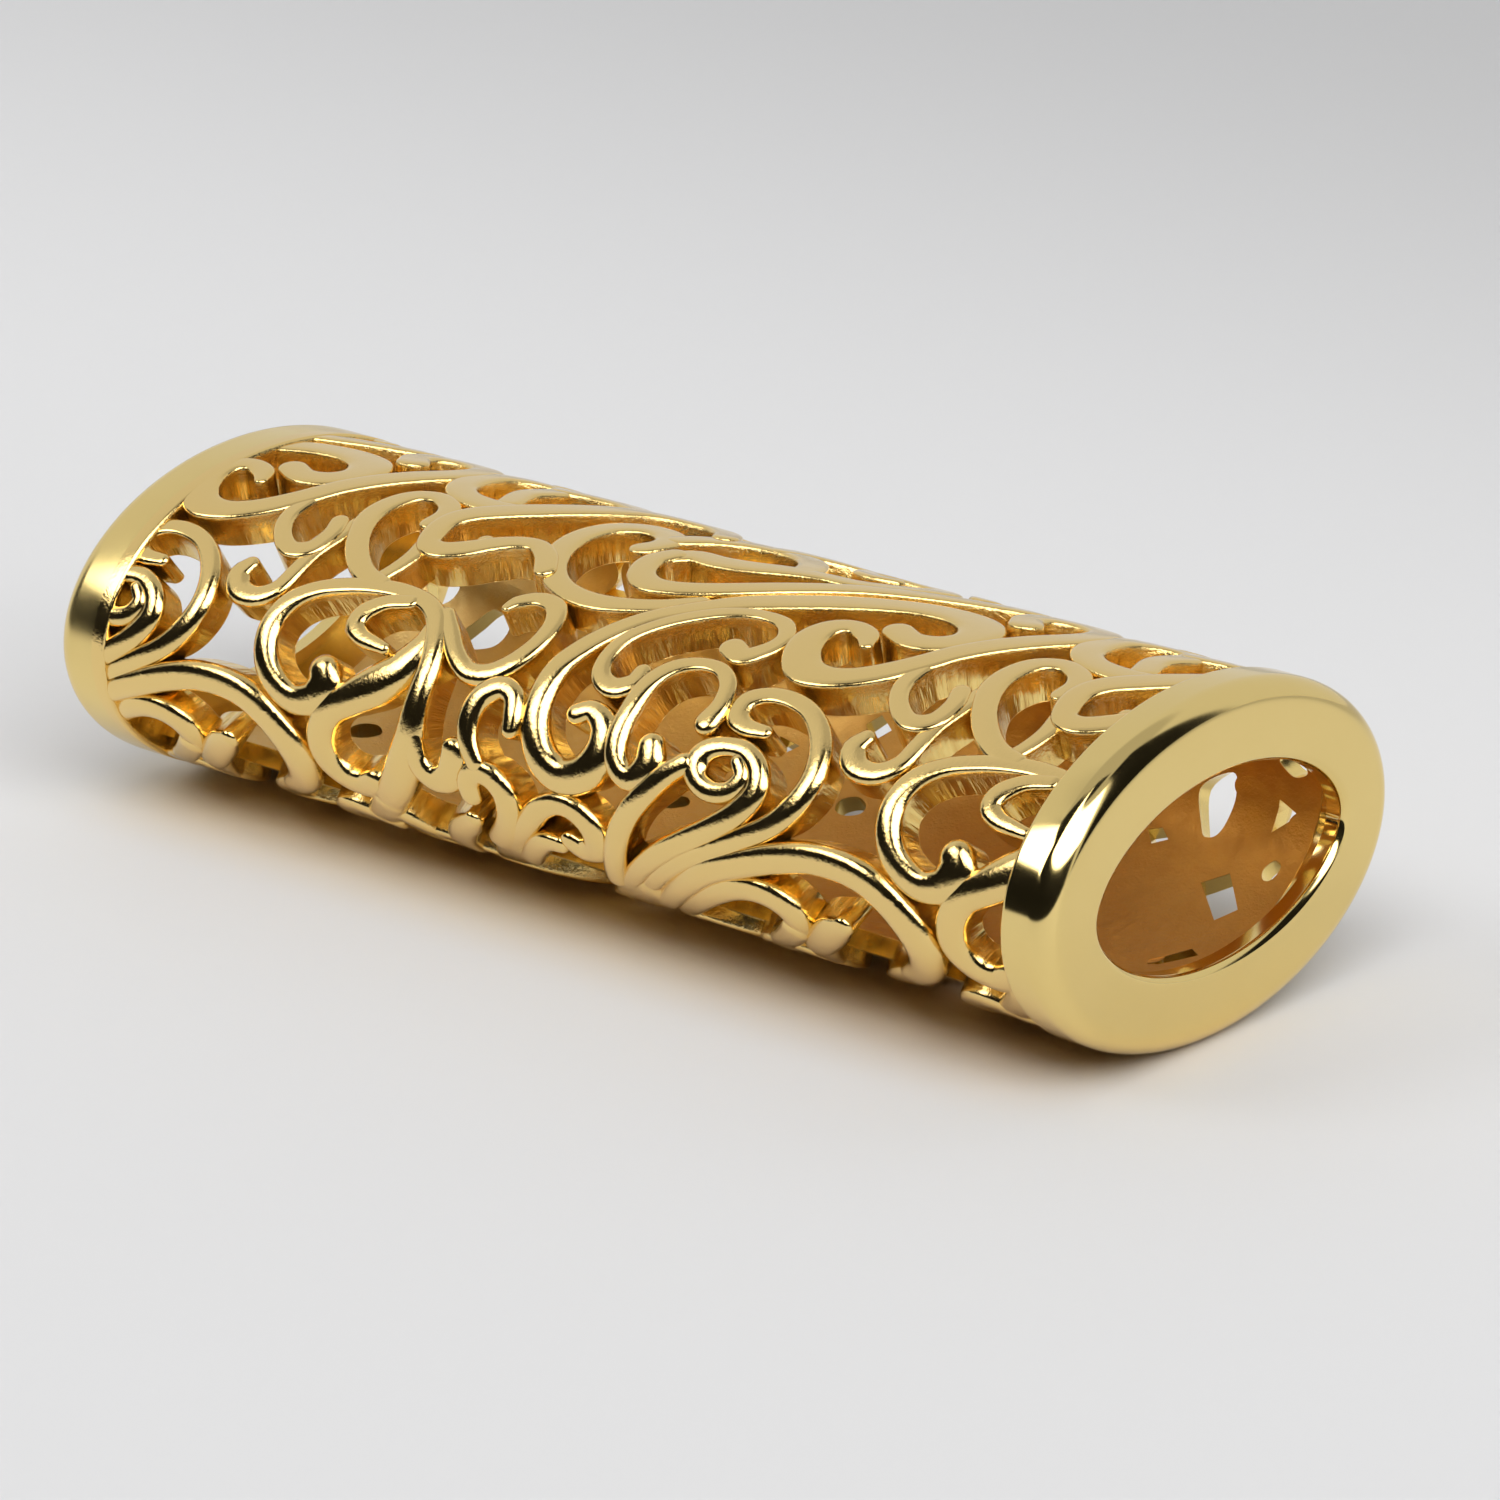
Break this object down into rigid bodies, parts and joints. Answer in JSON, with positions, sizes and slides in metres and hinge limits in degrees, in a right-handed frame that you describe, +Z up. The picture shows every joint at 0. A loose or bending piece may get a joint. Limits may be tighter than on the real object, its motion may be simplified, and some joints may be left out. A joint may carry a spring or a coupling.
{
  "type": "guitar slide",
  "caption": "Oval gold-plated sleeve with a pierced scrollwork wall between plain polished end collars, open right through so that it slips over a finger.",
  "frame": {"origin": "bottom centre of the whole sleeve, on the surface it lies on", "axes": "+X along the sleeve towards the pictured mouth, +Z up from the broad side it lies on, +Y across"},
  "size_m": [0.07, 0.0284, 0.0184],
  "materials": {
    "upper_shell_gold": "polished gold plate",
    "lower_shell_gold": "polished gold plate",
    "mouth_collar_gold": "polished gold plate",
    "tail_collar_gold": "polished gold plate"
  },
  "bodies": {
    "root": {"upper_scroll_shell": "upper_shell_gold", "lower_scroll_shell": "lower_shell_gold", "mouth_collar": "mouth_collar_gold", "tail_collar": "tail_collar_gold"}
  },
  "joints": []
}
